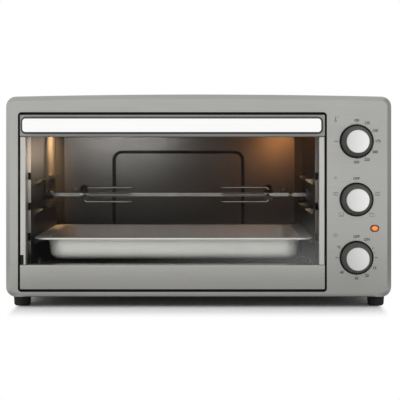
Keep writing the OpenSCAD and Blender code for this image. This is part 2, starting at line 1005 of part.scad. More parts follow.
module rotisserie_motor() {
    x = cavity_x[1] + liner;
    plate = cavity_x[1] + socket_l + motor_gap;
    half = [-motor_w / 2, motor_w / 2];
    case = [-motor_box / 2, motor_box / 2];
    color(charcoal)
        translate([0, spit_y, spit_z])
            difference() {
                union() {
                    box([plate, plate + motor_plate], half, half);
                    rod_x(plate + motor_plate, plate + motor_l, motor_w / 2 - 2);
                    box([plate + motor_plate, plate + motor_l / 2], case, [half[0], 0]);
                    for (s = [-1, 1], t = [-1, 1])
                        translate([0, s * (motor_w / 2 - motor_leg), t * (motor_w / 2 - motor_leg)])
                            rod_x(x, plate + 1, motor_leg / 2);
                }
                rod_x(plate - 1, plate + motor_l / 2, shaft_r + fit);
            }
}

module drive_socket() {
    x = cavity_x[1];
    color(charcoal)
        translate([0, spit_y, spit_z])
            difference() {
                union() {
                    rod_x(x - socket_out, x + socket_l, socket_r);
                    rod_x(x + socket_l - 1, x + socket_l + motor_gap + motor_l / 2 - 2, shaft_r);
                }
                box(
                    [x - socket_out - 1, x + socket_depth],
                    [-spit_t / 2 - slack, spit_t / 2 + slack],
                    [-spit_t / 2 - slack, spit_t / 2 + slack]
                );
            }
}

module spit_rod() {
    collar_x = journal_x + journal_w / 2;
    half = [-spit_t / 2, spit_t / 2];
    color(bright)
        translate([0, spit_y, spit_z]) {
            rod_x(journal_x - journal_w / 2 - tip_l, journal_x - journal_w / 2, journal_r + 1);
            rod_x(journal_x - journal_w / 2 - 1, collar_x + 1, journal_r);
            rod_x(collar_x, collar_x + collar_w, collar_r);
            box([collar_x + collar_w - 1, neck_x[0]], half, half);
            rod_x(neck_x[0] - 1, neck_x[1] + 1, neck_r);
            box([neck_x[1], cavity_x[1] + socket_depth - 2], half, half);
        }
}

// Hub on the square rod with four wires that bend along it
module fork() {
    difference() {
        union() {
            rod_x(-hub_l / 2, hub_l / 2, hub_r);
            for (a = [0 : 90 : 270])
                rotate([a, 0, 0]) {
                    translate([0, 0, hub_r - 2])
                        cylinder(h = max(tine_off - bend_r - hub_r + 2, 0.5), r = tine_r, $fn = 24);
                    translate([bend_r, 0, tine_off - bend_r])
                        rotate([90, 0, 180])
                            rotate_extrude(angle = 90, $fn = 48)
                                translate([bend_r, 0])
                                    circle(tine_r, $fn = 24);
                    translate([bend_r, 0, tine_off]) {
                        rod_x(0, tine_l, tine_r);
                        translate([tine_l, 0, 0])
                            rotate([0, 90, 0])
                                cylinder(h = tine_tip[0], r1 = tine_r, r2 = tine_tip[1], $fn = 24);
                    }
                }
        }
        box(
            [-hub_l, hub_l],
            [-spit_t / 2 - slack, spit_t / 2 + slack],
            [-spit_t / 2 - slack, spit_t / 2 + slack]
        );
        rotate([45, 0, 0])
            cylinder(h = 20, r = thumb_r + fit, $fn = 32);
    }
}

module left_fork() {
    color(bright)
        translate([fork_x[0], spit_y, spit_z])
            fork();
}

module right_fork() {
    color(bright)
        translate([fork_x[1], spit_y, spit_z])
            rotate([0, 0, 180])
                fork();
}

// Knurled thumbscrew, its tip just short of the rod
module thumbscrew() {
    rotate([45, 0, 0])
        difference() {
            union() {
                translate([0, 0, spit_t * 0.72 + seat])
                    cylinder(h = thumb_l, r = thumb_r, $fn = 32);
                translate([0, 0, hub_r + thumb_out])
                    cylinder(h = thumb_h, r = thumb_head, $fn = 48);
            }
            for (a = [0 : 36 : 324])
                rotate([0, 0, a])
                    translate([thumb_head + 0.3, 0, 0])
                        cylinder(h = hub_r + thumb_out + thumb_h + 1, r = knurl_r, $fn = 16);
        }
}

module left_thumbscrew() {
    color(bright)
        translate([fork_x[0], spit_y, spit_z])
            thumbscrew();
}

module right_thumbscrew() {
    color(bright)
        translate([fork_x[1], spit_y, spit_z])
            rotate([0, 0, 180])
                thumbscrew();
}

// Hollow folded rail with closed ends
module rail(z) {
    difference() {
        along_x(door_x[0], door_x[1])
            round_rect([0, door_t], z, rail_r);
        along_x(door_x[0] + rail_wall, door_x[1] - rail_wall)
            round_rect([rail_wall, door_t - rail_wall], grow(z, -rail_wall), rail_r - rail_wall);
    }
}

module door_top_rail() {
    color(satin)
        difference() {
            rail([window_z[1], door_z[1]]);
            for (x = post_x)
                translate([x, 0, handle_mid]) {
                    rod_y(-1, rail_wall + 1, screw_r + slack);
                    rod_y(door_t - rail_wall - 1, door_t + 1, head_r + 1);
                }
        }
}

module door_bottom_rail() {
    color(satin)
        difference() {
            rail([door_z[0], window_z[0]]);
            translate([0, hinge_y, hinge_z])
                rod_x(door_x[0] - 1, door_x[1] + 1, pin_r + fit);
        }
}

// Grooved stile that holds an edge of the glass
module stile(x, inner) {
    groove = [glass_y - slack, glass_y + glass_t + slack];
    difference() {
        translate([0, 0, window_z[0]])
            linear_extrude(window_z[1] - window_z[0])
                round_rect(x, [0, door_t], 1.2);
        box(inner, groove, grow(window_z, 1));
    }
}

module door_left_stile() {
    x = [door_x[0], door_x[0] + stile_w];
    color(bright)
        difference() {
            stile(x, [x[1] - glass_in - slack, x[1] + 1]);
            box([x[0] - 1, x[0] + notch_w], [-1, door_t + 1], [window_z[0] - 1, window_z[0] + notch_h]);
        }
}

module door_right_stile() {
    x = [door_x[1] - stile_w, door_x[1]];
    color(bright)
        stile(x, [x[0] - 1, x[0] + glass_in + slack]);
}

module door_glass() {
    color(clear)
        box(
            [door_x[0] + stile_w - glass_in, door_x[1] - stile_w + glass_in],
            [glass_y, glass_y + glass_t],
            window_z
        );
}

// Flat bar with round edges on two posts, with a recess for the trim
module handle_bar() {
    color(charcoal)
        difference() {
            union() {
                loft(concat(
                    [
                        for (a = [0 : 22.5 : 90])
                            handle_ring(handle_edge * (1 - sin(a)), bar_y + handle_edge * (1 - cos(a)))
                    ],
                    [
                        for (a = [0 : 22.5 : 90])
                            handle_ring(
                                handle_edge * (1 - cos(a)),
                                bar_y + handle_t - handle_edge * (1 - sin(a))
                            )
                    ]
                ));
                for (x = post_x)
                    along_y(bar_y + handle_t - 1, 0)
                        round_rect(
                            [x - post_w / 2, x + post_w / 2],
                            [handle_mid - post_h / 2, handle_mid + post_h / 2], 4
                        );
            }
            along_y(bar_y - 1, bar_y + trim_t - trim_proud)
                round_rect(grow(handle_x, -trim_rim), grow(handle_z, -trim_rim), handle_r - trim_rim);
            for (x = post_x)
                translate([x, 0, handle_mid])
                    rod_y(bar_y + handle_t - 2, 1, screw_r + fit);
        }
}

function handle_ring(i, y) = at_y(
    round_box(grow(handle_x, -i), grow(handle_z, -i), handle_r - i, steps), y
);

module handle_trim() {
    edge = trim_rim + slack;
    color(bright)
        along_y(-handle_out, -handle_out + trim_t)
            round_rect(grow(handle_x, -edge), grow(handle_z, -edge), handle_r - edge);
}

module handle_screws() {
    color(bright)
        for (x = post_x)
            translate([x, rail_wall, handle_mid])
                rotate([-90, 0, 0])
                    screw(handle_screw_l);
}

module hinge_pin(x, s) {
    color(bright)
        translate([x, hinge_y, hinge_z])
            rotate([0, s * 90, 0])
                translate([0, 0, -pin_inner])
                    cylinder(h = pin_inner + pin_l, r = pin_r, $fn = 48);
}

module left_hinge_pin() hinge_pin(door_x[0], -1);
module right_hinge_pin() hinge_pin(door_x[1], 1);

// Angle plate behind the fascia, with the bore that a hinge pin turns in
module hinge_bracket(x, s) {
    plate = [min(x, x + s * bracket_t), max(x, x + s * bracket_t)];
    foot = [min(x, x + s * bracket_flange), max(x, x + s * bracket_flange)];
    color(bright)
        difference() {
            union() {
                box(plate, [sheet, frame_y], bracket_z);
                box(foot, [frame_y - bracket_t, frame_y], bracket_z);
            }
            translate([0, hinge_y, hinge_z])
                rod_x(plate[0] - 1, plate[1] + 1, pin_r + fit);
        }
}

module left_hinge_bracket() hinge_bracket(open_x[0] - bracket_gap, -1);
module right_hinge_bracket() hinge_bracket(open_x[1] + bracket_gap, 1);

// Arm bent round the hinge axis, fixed on the bottom rail in the stile's notch
module door_stay() {
    color(bright)
        along_x(stay_x, stay_x + stay_t) {
            polygon(concat(
                arc(hinge_y, hinge_z, stay_r[1], stay_tail, 90, 16),
                arc(hinge_y, hinge_z, stay_r[0], 90, stay_tail, 16)
            ));
            translate([stay_foot, window_z[0]])
                square([door_t - 2 * stay_foot, notch_h - stay_foot]);
        }
}

// Tension spring from the stay's tail to the tab on the base
coil_n = 10;
coil_path = [
    for (k = [0 : coil_turns * coil_n])
        let (a = 360 * k / coil_n)
        [coil_x + coil_r * cos(a), coil_y + coil_pitch * k / coil_n, coil_z + coil_r * sin(a)]
];
coil_gap = min([
    for (i = [0 : coil_n], j = [i + coil_n / 2 : len(coil_path) - 1])
        norm(coil_path[j] - coil_path[i]) - 2 * coil_wire
]);

module door_spring() {
    echo(str("least gap between the spring's turns: ", coil_gap, " mm"));
    color(bright) {
        loft([
            for (k = [0 : len(coil_path) - 1])
                let (a = 360 * k / coil_n)
                [
                    for (b = [0 : 72 : 288])
                        coil_path[k] + coil_wire * [-cos(b) * cos(a), sin(b), -cos(b) * sin(a)]
                ]
        ]);
        translate([coil_x, 0, coil_z]) {
            translate([0, coil_y, 0]) {
                rod_x(-coil_wire, coil_r, coil_wire);
                rod_y(-hook_l[0], 0, coil_wire);
            }
            translate([0, coil_end, 0]) {
                rod_x(-coil_wire, coil_r, coil_wire);
                rod_y(0, hook_l[1], coil_wire);
            }
        }
    }
}

// Knob on the Z axis, its skirt near Z = 0 and its cap at knob_h
module knob() {
    rotate_extrude($fn = 96)
        polygon([
            [recess_r, knob_gap], [knob_r, knob_gap], [knob_r, knob_gap + knob_skirt - 0.7],
            [knob_r - 0.7, knob_gap + knob_skirt], [flank_r[0], knob_gap + knob_skirt],
            [flank_r[1], knob_h - 1.8], [flank_r[1] - 0.6, knob_h - 1],
            [cap_d / 2 + slack, knob_h - 1], [cap_d / 2 + slack, knob_h - cap_t], [0, knob_h - cap_t],
            [0, knob_h - cap_t - 2], [shaft_r + fit, knob_h - cap_t - 2],
            [shaft_r + fit, knob_gap + recess_h], [recess_r, knob_gap + recess_h]
        ]);
}

module cap(turn) {
    difference() {
        rotate_extrude($fn = 96)
            polygon([
                [0, knob_h - cap_t], [cap_d / 2, knob_h - cap_t], [cap_d / 2, knob_h - 0.6],
                [cap_d / 2 - 0.6, knob_h], [0, knob_h]
            ]);
        rotate([0, 0, 90 - turn])
            translate([dot_at * cap_d / 2, 0, knob_h - 0.4])
                cylinder(h = 1, r = dot_r, $fn = 24);
    }
}

module at_knob(k) {
    translate([knob_x, 0, knob_z[k]])
        rotate([90, 0, 0])
            children();
}

module knob_shaft() {
    translate([0, 0, -shaft_in])
        cylinder(h = shaft_in + knob_h - cap_t - 2.5, r = shaft_r, $fn = 48);
}

module temperature_knob() color(charcoal) at_knob(0) knob();
module function_knob() color(charcoal) at_knob(1) knob();
module timer_knob() color(charcoal) at_knob(2) knob();
module temperature_cap() color(bright) at_knob(0) cap(dot_turn[0]);
module function_cap() color(bright) at_knob(1) cap(dot_turn[1]);
module timer_cap() color(bright) at_knob(2) cap(dot_turn[2]);
module temperature_shaft() color(bright) at_knob(0) knob_shaft();
module function_shaft() color(bright) at_knob(1) knob_shaft();
module timer_shaft() color(bright) at_knob(2) knob_shaft();

// Threaded neck, nut and mounting plate that the three control units share
module control_unit(plate) {
    difference() {
        union() {
            children();
            box(
                [-plate[0] / 2, plate[0] / 2],
                [sheet, sheet + plate_t],
                [-plate[1] / 2, plate[1] / 2]
            );
            rod_y(-neck_out, sheet + 1, neck_bush);
            rotate([90, 0, 0])
                cylinder(h = nut_h, r = nut_r, $fn = 6);
        }
        rod_y(-neck_out - 1, shaft_in + 1, shaft_r + fit);
    }
}

module terminal(x, y, z) {
    box([x - pin_w / 2, x + pin_w / 2], [y - 1, y + pin_out], [z - pin_t / 2, z + pin_t / 2]);
}

module thermostat() {
    color(charcoal)
        translate([knob_x, 0, knob_z[0]])
            control_unit(thermostat_plate) {
                box(
                    [-thermostat_case[0] / 2, thermostat_case[0] / 2],
                    [sheet + 1, thermostat_d],
                    [-thermostat_case[1] / 2, thermostat_case[1] / 2]
                );
                for (x = thermostat_pins)
                    terminal(x, thermostat_d, 0);
            }
}

module function_switch() {
    color(charcoal)
        translate([knob_x, 0, knob_z[1]])
            control_unit(switch_plate) {
                rod_y(sheet + 1, switch_d, switch_r);
                for (a = [45 : 90 : 315])
                    terminal(switch_pins * cos(a), switch_d, switch_pins * sin(a));
            }
}

module timer_unit() {
    color(charcoal)
        translate([knob_x, 0, knob_z[2]])
            control_unit(timer_plate) {
                rod_y(sheet + 1, timer_d, timer_r);
                rod_y(timer_d - 1, bell_y[0] + 1, bell_stem);
                rod_y(bell_y[0], bell_y[1], bell_r);
            }
}

// Section of the lamp's domed lens, from x0 out to its edge
module lens_section(x0) {
    intersection() {
        translate([0, lamp_dome - lens_r])
            circle(lens_r, $fn = 64);
        translate([x0, 0])
            square([lamp_h / 2 - x0, lamp_dome]);
    }
}

// Snap-in lamp: a domed lens through the fascia on a short housing
module pilot_lamp() {
    mid = (lamp_w - lamp_h) / 2;
    color(amber)
        translate([lamp_x, 0, lamp_z]) {
            for (s = [-1, 1])
                translate([s * mid, 0, 0])
                    rotate([90, 0, 0])
                        rotate([0, 0, -90 * s])
                            rotate_extrude(angle = 180, $fn = 64)
                                lens_section(0);
            along_x(-mid, mid)
                rotate([0, 0, 90])
                    lens_section(-lamp_h / 2);
            along_y(0, sheet)
                oval(lamp_w, lamp_h);
            along_y(sheet, sheet + lamp_flange)
                oval(lamp_w + 2 * lamp_flange, lamp_h + 2 * lamp_flange);
            rod_y(sheet + 1, lamp_d, lamp_h / 2 - seat);
        }
}

module place() {
    translate([0, front_y, 0])
        children();
}

place() front_fascia();
place() outer_wrap();
place() rear_panel();
place() base_panel();
place() cabinet_screws();
place() cord_gland();
place() foot_front_left();
place() foot_front_right();
place() foot_rear_left();
place() foot_rear_right();
place() cavity_frame();
place() cavity_left_wall();
place() cavity_right_wall();
place() cavity_ceiling();
place() cavity_floor();
place() cavity_back();
place() left_rack_guides();
place() right_rack_guides();
place() upper_front_element();
place() upper_rear_element();
place() lower_front_element();
place() lower_rear_element();
place() element_insulators();
place() crumb_tray();
place() baking_pan();
place() spit_support();
place() rotisserie_motor();
place() drive_socket();
place() spit_rod();
place() left_fork();
place() right_fork();
place() left_thumbscrew();
place() right_thumbscrew();
place() door_top_rail();
place() door_bottom_rail();
place() door_left_stile();
place() door_right_stile();
place() door_glass();
place() handle_bar();
place() handle_trim();
place() handle_screws();
place() left_hinge_pin();
place() right_hinge_pin();
place() left_hinge_bracket();
place() right_hinge_bracket();
place() door_stay();
place() door_spring();
place() temperature_knob();
place() function_knob();
place() timer_knob();
place() temperature_cap();
place() function_cap();
place() timer_cap();
place() temperature_shaft();
place() function_shaft();
place() timer_shaft();
place() thermostat();
place() function_switch();
place() timer_unit();
place() pilot_lamp();
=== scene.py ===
import math

import bmesh
import bpy
from mathutils import Matrix, Vector


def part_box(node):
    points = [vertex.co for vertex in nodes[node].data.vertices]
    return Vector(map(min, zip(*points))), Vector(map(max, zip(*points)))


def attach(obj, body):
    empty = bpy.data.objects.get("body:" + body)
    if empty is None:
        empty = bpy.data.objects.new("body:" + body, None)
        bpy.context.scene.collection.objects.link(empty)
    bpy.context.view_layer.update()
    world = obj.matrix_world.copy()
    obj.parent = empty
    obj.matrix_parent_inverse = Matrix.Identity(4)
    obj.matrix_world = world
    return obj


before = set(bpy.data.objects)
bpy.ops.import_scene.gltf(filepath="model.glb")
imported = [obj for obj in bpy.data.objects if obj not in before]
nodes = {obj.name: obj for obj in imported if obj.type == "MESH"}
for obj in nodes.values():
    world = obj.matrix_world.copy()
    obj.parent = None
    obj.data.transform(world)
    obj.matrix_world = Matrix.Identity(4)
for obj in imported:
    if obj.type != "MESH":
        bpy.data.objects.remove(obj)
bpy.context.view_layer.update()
print("frame loaded,", len(nodes), "CAD nodes")

mm = 0.001
fasciaLow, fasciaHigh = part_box("front_fascia")


def addObject(name, data):
    thing = bpy.data.objects.new(name, data)
    bpy.context.scene.collection.objects.link(thing)
    return thing


# Small helpers for node trees

noiseSpan = (0.3, 0.7)     # noise seldom leaves this range
noiseRoughness = 0.55
grainDetail, cloudDetail = 2.0, 3.0


def newMaterial(name):
    material = bpy.data.materials.new(name)
    material.use_nodes = True
    tree = material.node_tree
    return material, tree, tree.nodes["Principled BSDF"]


def addNode(tree, kind, settings=None, **sockets):
    node = tree.nodes.new(kind)
    for key, value in (settings or {}).items():
        setattr(node, key, value)
    for key, value in sockets.items():
        node.inputs[key.replace("_", " ")].default_value = value
    return node


def setOrLink(tree, socket, value):
    if hasattr(value, "links"):
        tree.links.new(value, socket)
    else:
        socket.default_value = value


def objectPoint(tree, scale=(1, 1, 1), offset=(0, 0, 0)):
    coords = tree.nodes.new("ShaderNodeTexCoord")
    mapping = addNode(tree, "ShaderNodeMapping", Scale=scale, Location=offset)
    tree.links.new(coords.outputs["Object"], mapping.inputs["Vector"])
    return mapping.outputs["Vector"]


def splitAxes(tree, vector):
    parts = tree.nodes.new("ShaderNodeSeparateXYZ")
    tree.links.new(vector, parts.inputs["Vector"])
    return parts.outputs


def vectorLength(tree, vector):
    length = addNode(tree, "ShaderNodeVectorMath", {"operation": "LENGTH"})
    tree.links.new(vector, length.inputs[0])
    return length.outputs["Value"]


def frontReach(tree, point):
    flat = addNode(tree, "ShaderNodeVectorMath", {"operation": "MULTIPLY"})
    tree.links.new(point, flat.inputs[0])
    flat.inputs[1].default_value = (1, 0, 1)
    return vectorLength(tree, flat.outputs["Vector"])


def noiseField(tree, scale, detail=cloudDetail, offset=(0, 0, 0)):
    noise = addNode(tree, "ShaderNodeTexNoise", Scale=1.0, Detail=detail, Roughness=noiseRoughness)
    tree.links.new(objectPoint(tree, scale, offset), noise.inputs["Vector"])
    return noise.outputs["Fac"]


def remap(tree, value, low, high, outLow, outHigh, smooth=False):
    node = addNode(tree, "ShaderNodeMapRange")
    if smooth:
        node.interpolation_type = "SMOOTHSTEP"
    for key, number in zip(("From Min", "From Max", "To Min", "To Max"), (low, high, outLow, outHigh)):
        node.inputs[key].default_value = number
    tree.links.new(value, node.inputs["Value"])
    return node.outputs["Result"]


def combine(tree, operation, first, second):
    node = addNode(tree, "ShaderNodeMath", {"operation": operation})
    setOrLink(tree, node.inputs[0], first)
    setOrLink(tree, node.inputs[1], second)
    return node.outputs["Value"]


def blendColours(tree, factor, first, second):
    node = addNode(tree, "ShaderNodeMix", {"data_type": "RGBA"})
    tree.links.new(factor, node.inputs["Factor"])
    for socket, colour in ((node.inputs[6], first), (node.inputs[7], second)):
        setOrLink(tree, socket, colour if hasattr(colour, "links") else (*colour, 1))
    return node.outputs[2]


def tintOver(tree, factor, tint):
    colour = tree.nodes["Principled BSDF"].inputs["Base Color"]
    tree.links.new(blendColours(tree, factor, colour.links[0].from_socket, tint), colour)


def mixShaders(tree, factor, first, second):
    mix = tree.nodes.new("ShaderNodeMixShader")
    for socket, source in zip(mix.inputs, (factor, first, second)):
        tree.links.new(source, socket)
    return mix.outputs["Shader"]


def setBump(tree, shader, height, strength, depth):
    bump = addNode(tree, "ShaderNodeBump", Strength=strength, Distance=depth)
    tree.links.new(height, bump.inputs["Height"])
    tree.links.new(bump.outputs["Normal"], shader.inputs["Normal"])


# Metal finishes

metalMix = {
    "grain": 0.6,     # share of each noise in the tone
    "cloud": 0.4,
    "cloudAt": (3, 5, 7),
}


def brushedMetal(name, look):
    material, tree, shader = newMaterial(name)
    grain = noiseField(tree, look["grain"], grainDetail)
    cloud = noiseField(tree, look["cloud"], offset=metalMix["cloudAt"])
    tone = combine(tree, "ADD", combine(tree, "MULTIPLY", grain, metalMix["grain"]),
                   combine(tree, "MULTIPLY", cloud, metalMix["cloud"]))
    tone = remap(tree, tone, *noiseSpan, 0, 1)
    tree.links.new(blendColours(tree, tone, look["dark"], look["light"]), shader.inputs["Base Color"])
    tree.links.new(remap(tree, tone, 0, 1, *look["rough"]), shader.inputs["Roughness"])
    shader.inputs["Metallic"].default_value = look["metal"]
    setBump(tree, shader, grain, look["bump"], look["depth"])
    return material


def bottomShadedMetal(name, look):
    material = brushedMetal(name, look)
    tree = material.node_tree
    # painted shade: darker towards the bottom, below the given heights
    height = splitAxes(tree, objectPoint(tree))["Z"]
    tintOver(tree, remap(tree, height, *look["heights"], 1, 0), look["shadeTone"])
    return material


satinLook = {
    "dark": (0.405, 0.402, 0.382),
    "light": (0.46, 0.456, 0.435),
    "grain": (12, 900, 900),     # long streaks along X
    "cloud": (9, 9, 9),
    "rough": (0.35, 0.29),
    "metal": 0.9,
    "bump": 0.05,
    "depth": 0.0002,
}
# The top rail is darker than the satin steel: painted shade from the handle in front of it
railShadeLook = {
    "dark": (0.292, 0.289, 0.276),
    "light": (0.336, 0.333, 0.319),
    "grain": (12, 900, 900),
    "cloud": (9, 9, 9),
    "rough": (0.35, 0.29),
    "metal": 0.9,
    "bump": 0.05,
    "depth": 0.0002,
}
# The cavity steel is near black: painted shade of the closed cavity
cavityShadeLook = {
    "dark": (0.056, 0.053, 0.05),
    "light": (0.07, 0.067, 0.063),
    "shadeTone": (0.028, 0.026, 0.0235),
    "heights": (0.09, 0.22),     # painted shade thins out between these heights
    "grain": (30, 30, 30),
    "cloud": (12, 12, 12),
    "rough": (0.46, 0.43),
    "metal": 0.7,
    "bump": 0.02,
    "depth": 0.0004,
}
# Frame steel, with painted shade towards the bottom
frameLook = {
    "dark": (0.66, 0.61, 0.565),
    "light": (0.78, 0.725, 0.675),
    "shadeTone": (0.016, 0.014, 0.012),
    "heights": (0.07, 0.17),
    "grain": (260, 260, 260),
    "cloud": (12, 12, 12),
    "rough": (0.5, 0.38),
    "metal": 0.7,
    "bump": 0.08,
    "depth": 0.0003,
}
# Guide steel, with painted shade towards the bottom
guideLook = {
    "dark": (0.1, 0.075, 0.05),
    "light": (0.5, 0.38, 0.24),
    "shadeTone": (0.03, 0.025, 0.02),
    "heights": (0.08, 0.16),
    "grain": (60, 60, 260),
    "cloud": (40, 40, 40),
    "rough": (0.24, 0.14),
    "metal": 1.0,
    "bump": 0.05,
    "depth": 0.0002,
}
panLook = {
    "dark": (0.86, 0.855, 0.815),
    "light": (0.95, 0.945, 0.905),
    "tintWithPaintedLight": (0.4, 0.375, 0.35),      # browner inside and on the rim: partly heat tint, partly painted warm reflection
    "inward": (-0.03, 0.0, 1, 0),       # walls that face the pan's middle
    "upward": (0.6, 0.9, 0, 1),         # and all that faces up
    "grain": (15, 700, 700),
    "cloud": (20, 20, 20),
    "rough": (0.4, 0.32),
    "metal": 0.2,
    "bump": 0.05,
    "depth": 0.0002,
}
forkLook = {
    "dark": (0.3, 0.295, 0.285),
    "light": (0.45, 0.445, 0.43),
    "grain": (30, 900, 900),
    "cloud": (60, 60, 60),
    "rough": (0.2, 0.12),
    "metal": 1.0,
    "bump": 0.02,
    "depth": 0.0001,
}
# The rod is darker than the fork steel: painted shade for its dark reflections inside the cavity
spitShadeLook = {
    "dark": (0.16, 0.155, 0.145),
    "light": (0.3, 0.29, 0.275),
    "grain": (30, 900, 900),
    "cloud": (60, 60, 60),
    "rough": (0.24, 0.14),
    "metal": 1.0,
    "bump": 0.02,
    "depth": 0.0001,
}
stileLook = {
    "dark": (0.52, 0.51, 0.484),
    "light": (0.62, 0.605, 0.579),
    "grain": (1500, 1500, 14),     # streaks up the stile
    "cloud": (15, 15, 15),
    "rough": (0.36, 0.3),
    "metal": 0.9,
    "bump": 0.04,
    "depth": 0.0002,
}
trimLook = {
    "dark": (0.95, 0.95, 0.945),
    "light": (0.99, 0.99, 0.985),
    "grain": (8, 1200, 1200),
    "cloud": (6, 6, 6),
    "rough": (0.16, 0.12),
    "metal": 1.0,
    "bump": 0.01,
    "depth": 0.0001,
}
zincLook = {
    "dark": (0.3, 0.3, 0.293),
    "light": (0.42, 0.42, 0.41),
    "grain": (400, 400, 400),
    "cloud": (90, 90, 90),
    "rough": (0.45, 0.32),
    "metal": 0.95,
    "bump": 0.06,
    "depth": 0.0002,
}
screwLook = {
    "insideDarker": (0.03, 0.027, 0.025),     # the heads inside the cavity are darker
    "depths": (0.13, 0.16, 1, 0),       # ahead of the rear panel
    "heights": (0.05, 0.06, 0, 1),      # and above the base
}
# Near black: painted shade on the hinges, the door stay and the spit support
shadeBlackLook = {
    "dark": (0.012, 0.012, 0.012),
    "light": (0.022, 0.022, 0.021),
    "grain": (500, 500, 500),
    "cloud": (90, 90, 90),
    "rough": (0.6, 0.5),
    "metal": 0.4,
    "bump": 0.06,
    "depth": 0.0002,
}
castLook = {
    "dark": (0.16, 0.16, 0.165),
    "light": (0.24, 0.24, 0.245),
    "grain": (700, 700, 700),
    "cloud": (80, 80, 80),
    "rough": (0.6, 0.5),
    "metal": 0.6,
    "bump": 0.15,
    "depth": 0.0003,
}


def tintedPan(name, low, high, look):
    material = brushedMetal(name, look)
    tree = material.node_tree
    centre = (low + high) / 2
    facing = tree.nodes.new("ShaderNodeTexCoord").outputs["Normal"]
    outward = addNode(tree, "ShaderNodeVectorMath", {"operation": "DOT_PRODUCT"})
    tree.links.new(objectPoint(tree, (1, 1, 0), (-centre.x, -centre.y, 0)), outward.inputs[0])
    tree.links.new(facing, outward.inputs[1])
    inner = combine(tree, "MAXIMUM", remap(tree, outward.outputs["Value"], *look["inward"]),
                    remap(tree, splitAxes(tree, facing)["Z"], *look["upward"]))
    tintOver(tree, inner, look["tintWithPaintedLight"])
    return material


def darkInsideScrews(name, look, steel):
    material = brushedMetal(name, steel)
    tree = material.node_tree
    axes = splitAxes(tree, objectPoint(tree))
    inside = combine(tree, "MULTIPLY", remap(tree, axes["Y"], *look["depths"]),
                     remap(tree, axes["Z"], *look["heights"]))
    tintOver(tree, inside, look["insideDarker"])
    return material


frameShadeLook = {
    "gapShade": (0.036, 0.036, 0.035),
    "metal": 0.0,
    "edge": (4.0 * mm, 4.6 * mm),          # from the mouth out to the painted shade of the door gap
    "tintWithPaintedLight": (-0.12, 0.2, 0.0, 0.75),    # painted shade: the steel is darker towards the right
}


def gapShadedFrame(name, low, high, look, steel):
    material = bottomShadedMetal(name, steel)
    tree = material.node_tree
    axes = splitAxes(tree, objectPoint(tree))
    away = []
    for axis, a, b in (("X", low.x, high.x), ("Z", low.z, high.z)):
        fromMiddle = combine(tree, "SUBTRACT", axes[axis], (a + b) / 2)
        away.append(combine(tree, "SUBTRACT", combine(tree, "ABSOLUTE", fromMiddle, 0), (b - a) / 2))
    edge = remap(tree, combine(tree, "MAXIMUM", *away), *look["edge"], 0, 1)
    # Painted shade: darker towards the right, and a dark band out from the mouth where the door gap is
    tintOver(tree, remap(tree, axes["X"], *look["tintWithPaintedLight"]), steel["shadeTone"])
    tintOver(tree, edge, look["gapShade"])
    metallic = tree.nodes["Principled BSDF"].inputs["Metallic"]
    tree.links.new(remap(tree, edge, 0, 1, steel["metal"], look["metal"]), metallic)
    return material


capLook = {
    "dark": (0.66, 0.655, 0.638),
    "light": (0.92, 0.915, 0.9),
    "paintedSweep": (-16 * mm, 14 * mm, 0, 0.7),     # painted highlight: tone rises across the cap, towards the right
    "rings": 2400.0,                          # spun rings per metre
    "ringTone": (0, 0.3),
    "rough": (0.34, 0.26),
    "metal": 1.0,
    "bump": 0.05,
    "depth": 0.0001,
}


def spunCap(name, low, high, look):
    material, tree, shader = newMaterial(name)
    point = objectPoint(tree, offset=-(low + high) / 2)
    rings = addNode(tree, "ShaderNodeTexNoise", {"noise_dimensions": "1D"},
                    Scale=look["rings"], Detail=grainDetail)
    tree.links.new(frontReach(tree, point), rings.inputs["W"])
    # painted highlight, brighter towards the right
    paintedSweep = remap(tree, splitAxes(tree, point)["X"], *look["paintedSweep"])
    tone = combine(tree, "ADD", paintedSweep, remap(tree, rings.outputs["Fac"], *noiseSpan, *look["ringTone"]))
    tree.links.new(blendColours(tree, tone, look["dark"], look["light"]), shader.inputs["Base Color"])
    tree.links.new(remap(tree, tone, 0, 1, *look["rough"]), shader.inputs["Roughness"])
    shader.inputs["Metallic"].default_value = look["metal"]
    setBump(tree, shader, rings.outputs["Fac"], look["bump"], look["depth"])
    return material


# Plastic, rubber and ceramic finishes

plasticCloudAt = (2, 4, 1)


def mouldedPlastic(name, look):
    material, tree, shader = newMaterial(name)
    grain = noiseField(tree, look["grain"], grainDetail)
    cloud = noiseField(tree, look["cloud"], offset=plasticCloudAt)
    tree.links.new(blendColours(tree, cloud, look["dark"], look["light"]), shader.inputs["Base Color"])
    tree.links.new(remap(tree, grain, *noiseSpan, *look["rough"]), shader.inputs["Roughness"])
    setBump(tree, shader, grain, look["bump"], look["depth"])
    return material


handleLook = {
    "dark": (0.028, 0.028, 0.027),
    "light": (0.036, 0.036, 0.034),
    "grain": (2600, 2600, 2600),     # fine moulded texture
    "cloud": (60, 60, 60),
    "rough": (0.4, 0.5),
    "bump": 0.08,
    "depth": 0.0001,
}
blackLook = {
    "dark": (0.012, 0.012, 0.012),
    "light": (0.02, 0.02, 0.019),
    "grain": (1400, 1400, 1400),
    "cloud": (70, 70, 70),
    "rough": (0.55, 0.7),
    "bump": 0.12,
    "depth": 0.0002,
}
footLook = {
    "dark": (0.01, 0.01, 0.01),
    "light": (0.017, 0.017, 0.016),
    "grain": (1100, 1100, 1100),
    "cloud": (90, 90, 90),
    "rough": (0.75, 0.9),
    "bump": 0.2,
    "depth": 0.0002,
}
ceramicLook = {
    "dark": (0.26, 0.235, 0.2),
    "light": (0.42, 0.39, 0.34),
    "grain": (1500, 1500, 1500),
    "cloud": (120, 120, 120),
    "rough": (0.5, 0.65),
    "bump": 0.1,
    "depth": 0.0002,
}
